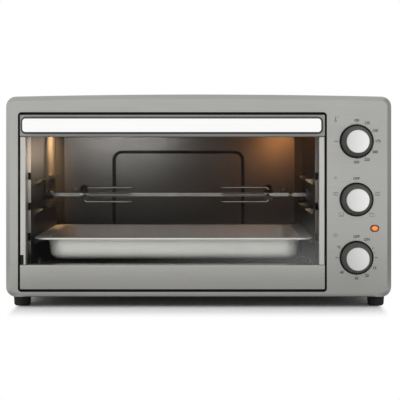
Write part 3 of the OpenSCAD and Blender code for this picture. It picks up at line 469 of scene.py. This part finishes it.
printLook = {
    "dark": (0.05, 0.05, 0.048),
    "light": (0.075, 0.075, 0.072),
    "grain": (3000, 3000, 3000),
    "cloud": (200, 200, 200),
    "rough": (0.5, 0.6),
    "bump": 0.02,
    "depth": 0.0001,
}
knobLook = {
    "flank": (0.072, 0.072, 0.07),
    "skirt": (0.004, 0.004, 0.004),
    "edge": (21.0 * mm, 21.9 * mm),     # radius where the flank meets the painted shade at the knob's base
    "sheen": 0.2,
    "grain": (2600, 2600, 2600),
    "rough": (0.42, 0.52),
    "bump": 0.08,
    "depth": 0.0001,
}


def knobBody(name, low, high, look):
    material, tree, shader = newMaterial(name)
    reach = frontReach(tree, objectPoint(tree, offset=-(low + high) / 2))
    edge = remap(tree, reach, *look["edge"], 0, 1)
    grain = noiseField(tree, look["grain"], grainDetail)
    # the dark skirt colour is a painted shade at the knob's base
    tree.links.new(blendColours(tree, edge, look["flank"], look["skirt"]), shader.inputs["Base Color"])
    tree.links.new(remap(tree, grain, *noiseSpan, *look["rough"]), shader.inputs["Roughness"])
    shader.inputs["Specular IOR Level"].default_value = look["sheen"]
    setBump(tree, shader, grain, look["bump"], look["depth"])
    return material


# Glass, heating elements and pilot lamp

glassLook = {
    "tint": (0.97, 0.972, 0.968),
    "smear": (0.93, 0.935, 0.928),
    "smears": (14, 14, 9),
    "smearDetail": 4.0,
    "smearSpan": (0.45, 0.75),
    "facing": 0.5,
    "slant": 5.0,                   # a higher power mirrors less when seen aslant
    "rough": (0.0, 0.03),
    "hazeReflection": (0.85, 0.85, 0.84),     # a painted reflection: a pale haze, strongest at the lower right
    "hazeAcross": (-0.16, 0.165, 0.0, 1.0),
    "hazeUp": (0.145, 0.06, 0.0, 1.0),
    "hazeGrowth": 1.9,
    "hazeShare": (0.0025, 0.088),
}


def thinGlass(name, look):
    material, tree, shader = newMaterial(name)
    tree.nodes.remove(shader)
    smear = noiseField(tree, look["smears"], look["smearDetail"])
    tint = blendColours(tree, remap(tree, smear, *look["smearSpan"], 0, 1), look["tint"], look["smear"])
    clear = tree.nodes.new("ShaderNodeBsdfTransparent")
    tree.links.new(tint, clear.inputs["Color"])
    axes = splitAxes(tree, objectPoint(tree))
    # painted reflection: a pale haze, strongest at the lower right
    thick = combine(tree, "MULTIPLY", remap(tree, axes["X"], *look["hazeAcross"]),
                    remap(tree, axes["Z"], *look["hazeUp"]))
    thick = combine(tree, "POWER", thick, look["hazeGrowth"])
    hazeReflection = addNode(tree, "ShaderNodeBsdfDiffuse", Color=(*look["hazeReflection"], 1))
    share = remap(tree, thick, 0, 1, *look["hazeShare"])
    hazy = mixShaders(tree, share, clear.outputs["BSDF"], hazeReflection.outputs["BSDF"])
    gloss = tree.nodes.new("ShaderNodeBsdfGlossy")
    tree.links.new(remap(tree, smear, *noiseSpan, *look["rough"]), gloss.inputs["Roughness"])
    rim = addNode(tree, "ShaderNodeLayerWeight", Blend=look["facing"])
    mirrored = combine(tree, "POWER", rim.outputs["Facing"], look["slant"])
    pane = mixShaders(tree, mirrored, hazy, gloss.outputs["BSDF"])
    tree.links.new(pane, tree.nodes["Material Output"].inputs["Surface"])
    return material


elementLook = {
    "cold": (0.07, 0.06, 0.055),
    "tinted": (0.13, 0.095, 0.075),
    "tints": (25, 120, 120),
    "rough": (0.55, 0.42),
    "metal": 0.6,
    "glow": (1.0, 0.3, 0.07, 1),
    "lit": 0.5,
    "unlit": 0.0,
}


def elementSheath(name, look, state):
    material, tree, shader = newMaterial(name)
    tint = noiseField(tree, look["tints"])
    tree.links.new(blendColours(tree, tint, look["cold"], look["tinted"]), shader.inputs["Base Color"])
    tree.links.new(remap(tree, tint, *noiseSpan, *look["rough"]), shader.inputs["Roughness"])
    shader.inputs["Metallic"].default_value = look["metal"]
    shader.inputs["Emission Color"].default_value = look["glow"]
    shader.inputs["Emission Strength"].default_value = look[state]
    return material


lampLook = {
    "rim": (0.1, 0.02, 0.008),
    "core": (0.75, 0.24, 0.06),
    "edge": (0.5, 0.85),              # from core to rim, as a share of the lens
    "flange": 1.5 * mm,
    "facets": (900, 900, 900),
    "facetDetail": 1.0,
    "facetShift": (-0.12, 0.12),
    "glow": 0.33,
    "rough": 0.18,
    "bump": 0.2,
    "depth": 0.0004,
}


def litLens(name, low, high, look):
    material, tree, shader = newMaterial(name)
    centre = (low + high) / 2
    half = ((high.x - low.x) / 2 - look["flange"], 1.0, (high.z - low.z) / 2 - look["flange"])
    point = objectPoint(tree, [1 / h for h in half], [-c / h for c, h in zip(centre, half)])
    facets = noiseField(tree, look["facets"], look["facetDetail"])
    reach = combine(tree, "ADD", frontReach(tree, point), remap(tree, facets, 0, 1, *look["facetShift"]))
    colour = blendColours(tree, remap(tree, reach, *look["edge"], 0, 1), look["core"], look["rim"])
    for socket in ("Base Color", "Emission Color"):
        tree.links.new(colour, shader.inputs[socket])
    shader.inputs["Emission Strength"].default_value = look["glow"]
    shader.inputs["Roughness"].default_value = look["rough"]
    setBump(tree, shader, facets, look["bump"], look["depth"])
    return material


cavityLow = Vector((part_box("cavity_left_wall")[1].x, 0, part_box("cavity_floor")[1].z))
cavityHigh = Vector((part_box("cavity_right_wall")[0].x, 0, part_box("cavity_ceiling")[0].z))
finishOf = {
    brushedMetal("satin_steel", satinLook): [
        "front_fascia", "outer_wrap", "rear_panel", "base_panel", "door_bottom_rail",
    ],
    brushedMetal("rail_steel_painted_shade", railShadeLook): ["door_top_rail"],
    gapShadedFrame("cavity_frame_steel", cavityLow, cavityHigh, frameShadeLook, frameLook): ["cavity_frame"],
    bottomShadedMetal("cavity_steel", cavityShadeLook): [
        "cavity_left_wall", "cavity_right_wall", "cavity_ceiling", "cavity_floor", "cavity_back",
        "crumb_tray",
    ],
    bottomShadedMetal("guide_steel", guideLook): ["left_rack_guides", "right_rack_guides"],
    tintedPan("pan_steel", *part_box("baking_pan"), panLook): ["baking_pan"],
    brushedMetal("stile_aluminium", stileLook): ["door_left_stile", "door_right_stile"],
    brushedMetal("polished_trim", trimLook): ["handle_trim"],
    brushedMetal("spit_steel", spitShadeLook): ["spit_rod"],
    brushedMetal("fork_steel", forkLook): ["left_fork", "right_fork", "left_thumbscrew", "right_thumbscrew"],
    darkInsideScrews("casing_screw_steel", screwLook, zincLook): ["cabinet_screws"],
    brushedMetal("zinc_steel", zincLook): [
        "handle_screws", "door_spring", "temperature_shaft", "function_shaft", "timer_shaft",
    ],
    brushedMetal("blackened_steel", shadeBlackLook): [
        "left_hinge_pin", "right_hinge_pin", "left_hinge_bracket", "right_hinge_bracket", "door_stay",
        "spit_support",
    ],
    brushedMetal("cast_metal", castLook): ["rotisserie_motor", "drive_socket"],
    mouldedPlastic("knob_plastic", handleLook): ["handle_bar"],
    mouldedPlastic("black_plastic", blackLook): ["cord_gland", "thermostat", "function_switch", "timer_unit"],
    mouldedPlastic("foot_rubber", footLook): [
        "foot_front_left", "foot_front_right", "foot_rear_left", "foot_rear_right",
    ],
    elementSheath("element_sheath_lit", elementLook, "lit"): ["upper_front_element", "upper_rear_element"],
    elementSheath("element_sheath_cold", elementLook, "unlit"): ["lower_front_element", "lower_rear_element"],
    mouldedPlastic("insulator_ceramic", ceramicLook): ["element_insulators"],
    thinGlass("door_glass_clear", glassLook): ["door_glass"],
    litLens("amber_lens", *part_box("pilot_lamp"), lampLook): ["pilot_lamp"],
}
for dial in ("temperature", "function", "timer"):
    knob = knobBody(dial + "_knob_plastic", *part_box(dial + "_knob"), knobLook)
    cap = spunCap(dial + "_cap_metal", *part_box(dial + "_cap"), capLook)
    finishOf[knob] = [dial + "_knob"]
    finishOf[cap] = [dial + "_cap"]
for material, names in finishOf.items():
    for name in names:
        nodes[name].data.materials.clear()
        nodes[name].data.materials.append(material)
print("finishes set on", sum(len(names) for names in finishOf.values()), "nodes")


# Shading of the CAD meshes: weld split corners, then smooth up to an angle

smoothing = {
    "weld": 2e-6,
    "angle": math.radians(32),
}


def shadingGroup(setup):
    group = bpy.data.node_groups.new("smooth_shading", "GeometryNodeTree")
    for way in ("INPUT", "OUTPUT"):
        group.interface.new_socket("Geometry", in_out=way, socket_type="NodeSocketGeometry")
    start = group.nodes.new("NodeGroupInput")
    end = group.nodes.new("NodeGroupOutput")
    weld = addNode(group, "GeometryNodeMergeByDistance", Distance=setup["weld"])
    angle = group.nodes.new("GeometryNodeInputMeshEdgeAngle")
    sharp = addNode(group, "FunctionNodeCompare", {"operation": "GREATER_THAN"}, B=setup["angle"])
    normal = addNode(group, "GeometryNodeSetMeshNormal", {"mode": "SHARPNESS"},
                     Remove_Custom=True, Face_Sharpness=False)
    group.links.new(start.outputs[0], weld.inputs["Geometry"])
    group.links.new(weld.outputs["Geometry"], normal.inputs["Mesh"])
    group.links.new(angle.outputs["Unsigned Angle"], sharp.inputs["A"])
    group.links.new(sharp.outputs["Result"], normal.inputs["Edge Sharpness"])
    group.links.new(normal.outputs["Mesh"], end.inputs[0])
    return group


smoothShading = shadingGroup(smoothing)
for node in nodes.values():
    node.modifiers.new("smooth_shading", "NODES").node_group = smoothShading
print("shading set")


# Printed dial marks on the fascia, drawn in X and Z from each knob's axis

printInk = mouldedPlastic("dial_print", printLook)
dialPrint = {
    "thick": 0.05 * mm,
    "labelAt": 29.3 * mm,          # from the axis to a label's middle
    "tickAt": 25.4 * mm,           # from the axis to where the outer ticks start
    "innerTick": 0.9 * mm,         # length of the ticks that end there
    "tickWidth": 0.9 * mm,
    "letter": 3.8 * mm,
    "typeSize": 1.38,              # type size for one unit of letter height
    "bolder": 0.17 * mm,
    "arcStep": 6,                  # degrees
    "arcLeast": 6,                 # pieces
    "signAt": (-29.5 * mm, 31.0 * mm),
}


def polar(turn, radius, x=0.0, z=0.0):
    t = math.radians(turn)
    return x + radius * math.sin(t), z + radius * math.cos(t)


class MarkSheet:
    def __init__(self, dial):
        low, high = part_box(dial + "_knob")
        self.name = dial + "_marks"
        self.centre = (low + high) / 2
        self.mesh = bmesh.new()

    def place(self, x, z):
        return Vector((self.centre.x + x, fasciaLow.y - dialPrint["thick"], self.centre.z + z))

    def strip(self, points, width):
        for (x0, z0), (x1, z1) in zip(points, points[1:]):
            length = math.hypot(x1 - x0, z1 - z0)
            nx, nz = -(z1 - z0) / length * width / 2, (x1 - x0) / length * width / 2
            ring = [(x0 + nx, z0 + nz), (x0 - nx, z0 - nz), (x1 - nx, z1 - nz), (x1 + nx, z1 + nz)]
            self.mesh.faces.new([self.mesh.verts.new(self.place(x, z)) for x, z in ring])

    def arc(self, radius, start, stop, width, x=0.0, z=0.0):
        count = max(dialPrint["arcLeast"], int(abs(stop - start) / dialPrint["arcStep"]))
        turns = [start + (stop - start) * k / count for k in range(count + 1)]
        self.strip([polar(turn, radius, x, z) for turn in turns], width)

    def tick(self, turn, near, far):
        self.strip([polar(turn, near), polar(turn, far)], dialPrint["tickWidth"])

    def innerTick(self, turn):
        self.tick(turn, dialPrint["tickAt"] - dialPrint["innerTick"], dialPrint["tickAt"])

    def outerTick(self, turn, reach):
        self.tick(turn, dialPrint["tickAt"], dialPrint["tickAt"] + reach)

    def sign(self, strokes, x, z):
        for stroke in strokes:
            width = stroke["width"] * mm
            if "line" in stroke:
                self.strip([(x + dx * mm, z + dz * mm) for dx, dz in stroke["line"]], width)
            else:
                dx, dz = stroke["at"]
                self.arc(stroke["ring"] * mm, 0, 360, width, x + dx * mm, z + dz * mm)

    def label(self, text, turn, outward=0.0):
        curve = bpy.data.curves.new(self.name + "_text", "FONT")
        curve.body = text
        curve.size = dialPrint["letter"] * dialPrint["typeSize"]
        curve.offset = dialPrint["bolder"]
        curve.align_x = "CENTER"
        curve.align_y = "CENTER"
        holder = addObject(self.name + "_text", curve)
        bpy.context.view_layer.update()
        flat = bpy.data.meshes.new_from_object(holder.evaluated_get(bpy.context.evaluated_depsgraph_get()))
        at = self.place(*polar(turn, dialPrint["labelAt"] + outward))
        flat.transform(Matrix.Translation(at) @ Matrix.Rotation(math.radians(90), 4, "X"))
        self.mesh.from_mesh(flat)
        bpy.data.objects.remove(holder)
        bpy.data.meshes.remove(flat)
        bpy.data.curves.remove(curve)

    def finish(self):
        solid = bmesh.ops.extrude_face_region(self.mesh, geom=list(self.mesh.faces))
        moved = [v for v in solid["geom"] if isinstance(v, bmesh.types.BMVert)]
        bmesh.ops.translate(self.mesh, vec=(0, dialPrint["thick"], 0), verts=moved)
        bmesh.ops.recalc_face_normals(self.mesh, faces=self.mesh.faces)
        data = bpy.data.meshes.new(self.name)
        self.mesh.to_mesh(data)
        self.mesh.free()
        piece = addObject(self.name, data)
        data.materials.append(printInk)
        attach(piece, "cabinet")


# Strokes of the signs, in millimetres from a sign's middle
thermometer = [
    {"line": [(0, 3.4), (0, -1.2)], "width": 0.9},
    {"ring": 1.3, "at": (0, -2.4), "width": 0.7},
    {"ring": 0.8, "at": (3.4, 3.2), "width": 0.45},
]
twoBars = [
    {"line": [(-2.0, 0.5), (2.0, 0.5)], "width": 0.6},
    {"line": [(-2.0, -1.5), (2.0, -1.5)], "width": 0.6},
]
clock = [
    {"ring": 2.4, "at": (0, 0), "width": 0.5},
    {"line": [(0, 1.6), (0, 0), (1.2, 0)], "width": 0.45},
]
ovenBox = {"line": [(-3.2, -2.3), (3.2, -2.3), (3.2, 2.3), (-3.2, 2.3), (-3.2, -2.3)], "width": 0.4}
topHeat = {"line": [(-2.08, 1.265), (2.08, 1.265)], "width": 0.6}
bottomHeat = {"line": [(-2.08, -1.265), (2.08, -1.265)], "width": 0.6}
turningSpit = {"ring": 0.8, "at": (0, -0.575), "width": 0.4}

temperatureMarks = {
    "labels": [(0, "100"), (30, "125"), (60, "150"), (90, "175"), (120, "200"), (150, "225"), (180, "250")],
    "outward": 0.9 * mm,     # how much farther out the labels at the sides are
    "arc": (-20, 180),
    "arcWidth": 0.35 * mm,
    "off": (270, 6.2 * mm),
}
sheet = MarkSheet("temperature")
for turn, text in temperatureMarks["labels"]:
    sheet.label(text, turn, temperatureMarks["outward"] * abs(math.sin(math.radians(turn))))
    sheet.innerTick(turn)
arcRadius = dialPrint["tickAt"] - dialPrint["innerTick"]
sheet.arc(arcRadius, *temperatureMarks["arc"], temperatureMarks["arcWidth"])
sheet.outerTick(*temperatureMarks["off"])
sheet.sign(thermometer, *dialPrint["signAt"])
sheet.finish()

functionMarks = {
    "signs": [
        (75, [ovenBox, topHeat, bottomHeat]),
        (135, [ovenBox, topHeat]),
        (225, [ovenBox, bottomHeat]),
        (285, [ovenBox, topHeat, turningSpit]),
    ],
    "outward": 1.0 * mm,
}
sheet = MarkSheet("function")
sheet.label("OFF", 0)
for turn, strokes in functionMarks["signs"]:
    sheet.sign(strokes, *polar(turn, dialPrint["labelAt"] + functionMarks["outward"]))
    sheet.innerTick(turn)
sheet.sign(twoBars, *dialPrint["signAt"])
sheet.finish()

timerMarks = {
    "states": [(0, "OFF"), (30, "ON")],
    "labels": [(120, "15"), (150, "20"), (180, "30"), (225, "40"), (300, "60")],
    "ticks": [(60, 3.0 * mm), (75, 1.6 * mm), (90, 4.6 * mm), (270, 4.6 * mm)],
}
sheet = MarkSheet("timer")
for turn, text in timerMarks["states"]:
    sheet.label(text, turn)
for turn, text in timerMarks["labels"]:
    sheet.label(text, turn)
    sheet.innerTick(turn)
for turn, reach in timerMarks["ticks"]:
    sheet.outerTick(turn, reach)
sheet.sign(clock, *dialPrint["signAt"])
sheet.finish()
print("dial marks printed")


# Floor, world, lamps and camera

floorLook = {
    "size": 12.0,
    "drop": 0.0004,                          # below the feet
    "colour": (0.83, 0.83, 0.82),
    "paler": (0.85, 0.85, 0.845),
    "grain": (30, 30, 30),
    "footprint": (fasciaHigh.x - 0.02, 0.166),     # half width and half depth
    "fade": (0.014, 0.1, 0.0, 1.0),          # shadow shows within this reach of the footprint
    "sideways": 8.0,                         # and falls off faster at the sides
    # The tones below are painted shade and light, seen only in the floor's reflections
    "mirrored": (0.114, 1.0, 0.4, 1.0),      # reflected floor grows lighter with distance
    "nearEdge": (0.02, 0.12, 0.25, 0.0),     # and lighter again close to the footprint
    "under": (0.0, 0.004, 0.05, 1.0),        # and is dark below the object
    "shadeRight": (0.28, 0.5, 1.0, 0.3),      # and darker at both sides, a painted shade
    "shadeLeft": (-0.28, -0.5, 1.0, 0.6),
    "shadeEnds": (-0.9, -0.5, 1.0, 0.0),      # which end this far ahead of the object
}


def floorMaterial(look):
    material, tree, shader = newMaterial("pale_floor")
    tree.nodes.remove(shader)
    axes = splitAxes(tree, objectPoint(tree))
    away = tree.nodes.new("ShaderNodeCombineXYZ")
    for axis, half, faster in zip("XY", look["footprint"], (look["sideways"], 1.0)):
        past = combine(tree, "SUBTRACT", combine(tree, "ABSOLUTE", axes[axis], 0), half)
        past = combine(tree, "MULTIPLY", combine(tree, "MAXIMUM", past, 0.0), faster)
        tree.links.new(past, away.inputs[axis])
    reach = vectorLength(tree, away.outputs["Vector"])

    # painted shade and light of the floor in reflections
    mirrored = remap(tree, reach, *look["mirrored"], smooth=True)
    mirrored = combine(tree, "ADD", mirrored, remap(tree, reach, *look["nearEdge"]))
    mirrored = combine(tree, "MULTIPLY", mirrored, remap(tree, reach, *look["under"]))
    ahead = remap(tree, axes["Y"], *look["shadeEnds"])
    for flag in ("shadeRight", "shadeLeft"):
        shade = combine(tree, "MAXIMUM", ahead, remap(tree, axes["X"], *look[flag]))
        mirrored = combine(tree, "MULTIPLY", mirrored, shade)

    path = tree.nodes.new("ShaderNodeLightPath")
    glossy = path.outputs["Is Glossy Ray"]
    direct = combine(tree, "MAXIMUM", path.outputs["Is Camera Ray"], path.outputs["Is Transmission Ray"])
    clear = combine(tree, "MULTIPLY", direct, remap(tree, reach, *look["fade"], smooth=True))
    dimmer = combine(tree, "MULTIPLY", glossy, combine(tree, "SUBTRACT", 1.0, mirrored))
    paper = tree.nodes.new("ShaderNodeBsdfDiffuse")
    tone = blendColours(tree, noiseField(tree, look["grain"]), look["colour"], look["paler"])
    tree.links.new(tone, paper.inputs["Color"])
    white = tree.nodes.new("ShaderNodeEmission")
    tree.links.new(combine(tree, "SUBTRACT", 1.0, dimmer), white.inputs["Strength"])
    surface = mixShaders(tree, combine(tree, "MAXIMUM", clear, glossy), paper.outputs["BSDF"],
                         white.outputs["Emission"])
    tree.links.new(surface, tree.nodes["Material Output"].inputs["Surface"])
    return material


half = floorLook["size"] / 2
floorMesh = bpy.data.meshes.new("floor")
corners = [(-half, -half, 0), (half, -half, 0), (half, half, 0), (-half, half, 0)]
floorMesh.from_pydata(corners, [], [(0, 1, 2, 3)])
floorMesh.materials.append(floorMaterial(floorLook))
floor = addObject("floor", floorMesh)
floor.location.z = -floorLook["drop"]

worldLook = {
    "ambient": (0.97, 0.98, 1.0, 1),
    "level": 0.42,
    "backdrop": (1, 1, 1, 1),
    "ceiling": (0.25, 0.8, 1.0, 0.66),     # reflections fade from the white backdrop to a darker ceiling
    "flag": (0.3, 0.6, 1.0, 0.2),          # and to a dark flag on the right
}


def makeWorld(look):
    world = bpy.data.worlds.new("studio")
    world.use_nodes = True
    tree = world.node_tree
    way = splitAxes(tree, tree.nodes.new("ShaderNodeTexCoord").outputs["Generated"])
    bright = combine(tree, "MULTIPLY", remap(tree, way["Z"], *look["ceiling"]),
                     remap(tree, way["X"], *look["flag"]))
    path = tree.nodes.new("ShaderNodeLightPath")
    direct = combine(tree, "MAXIMUM", path.outputs["Is Camera Ray"], path.outputs["Is Transmission Ray"])
    white = combine(tree, "MAXIMUM", direct, combine(tree, "MULTIPLY", path.outputs["Is Glossy Ray"], bright))
    ambient = tree.nodes["Background"]
    ambient.inputs["Color"].default_value = look["ambient"]
    ambient.inputs["Strength"].default_value = look["level"]
    backdrop = addNode(tree, "ShaderNodeBackground", Color=look["backdrop"], Strength=1.0)
    surface = mixShaders(tree, white, ambient.outputs["Background"], backdrop.outputs["Background"])
    tree.links.new(surface, tree.nodes["World Output"].inputs["Surface"])
    return world


bpy.context.scene.world = makeWorld(worldLook)


def addLamp(name, box):
    lamp = bpy.data.lights.new(name, "AREA")
    lamp.shape = "RECTANGLE"
    lamp.size, lamp.size_y = box["size"]
    lamp.energy = box["watts"]
    holder = addObject(name, lamp)
    holder.location = box["at"]
    aim = Vector(box["to"]) - Vector(box["at"])
    holder.rotation_euler = aim.to_track_quat("-Z", "Y").to_euler()
    return holder


softboxes = {
    "key": {"at": (0.9, -1.5, 1.7), "to": (0, -0.1, 0.15), "size": (2.2, 1.6), "watts": 26},
    "fill": {"at": (-1.3, -1.6, 1.1), "to": (0, -0.1, 0.15), "size": (1.2, 1.0), "watts": 14},
    "top": {"at": (0.0, 0.2, 1.9), "to": (0, 0.0, 0.2), "size": (1.8, 1.2), "watts": 12},
}
for name, box in softboxes.items():
    addLamp(name + "_softbox", box).visible_glossy = False

# Glow of the upper heating elements inside the cavity
cavityGlow = {
    "rear": {"at": (-0.14, -0.075, 0.2525), "to": (-0.15, 0.14, 0.225), "size": (0.15, 0.02),
             "watts": 0.18, "spread": 80, "colour": (0.97, 0.98, 1.0)},
    "right": {"at": (0.135, 0.04, 0.25), "to": (0.1, 0.14, 0.205), "size": (0.02, 0.02),
              "watts": 0.11, "spread": 100, "colour": (1.0, 0.4, 0.12)},
    "left": {"at": (-0.195, 0.06, 0.248), "to": (-0.239, 0.07, 0.22), "size": (0.02, 0.03),
             "watts": 0.62, "spread": 110, "colour": (1.0, 0.62, 0.3)},
    "near": {"at": (-0.185, -0.085, 0.238), "to": (-0.239, -0.085, 0.212), "size": (0.15, 0.045),
             "watts": 0.25, "spread": 60, "colour": (1.0, 0.8, 0.62)},
}
for name, box in cavityGlow.items():
    holder = addLamp(name + "_glow", box)
    holder.data.color = box["colour"]
    holder.data.spread = math.radians(box["spread"])
    holder.visible_camera = False
print("studio lit")

photoView = {
    "frame": 400,                  # pixels along each side
    "fasciaPixels": 386.4,         # width of the fascia
    "middle": (198.6, 308.2),      # where the fascia's middle meets the counter
    "eye": (220.0, 130.0),         # where the lens looks straight ahead
    "distance": 1.75,              # metres from lens to fascia
    "sensor": 36.0,
}
pixel = (fasciaHigh.x - fasciaLow.x) / photoView["fasciaPixels"]
eyeX, eyeZ = photoView["eye"]
middleX, middleZ = photoView["middle"]
camera = bpy.data.cameras.new("camera")
camera.sensor_width = photoView["sensor"]
camera.lens = photoView["distance"] * photoView["sensor"] / (photoView["frame"] * pixel)
camera.shift_x = 0.5 - eyeX / photoView["frame"]
camera.shift_y = eyeZ / photoView["frame"] - 0.5
cameraHolder = addObject("camera", camera)
cameraHolder.location = (
    (fasciaLow.x + fasciaHigh.x) / 2 + (eyeX - middleX) * pixel,
    fasciaLow.y - photoView["distance"],
    (middleZ - eyeZ) * pixel,
)
cameraHolder.rotation_euler = (math.radians(90), 0, 0)
bpy.context.scene.camera = cameraHolder
bpy.context.scene.view_settings.view_transform = "Standard"
print("camera set, lens", round(camera.lens, 1), "mm")
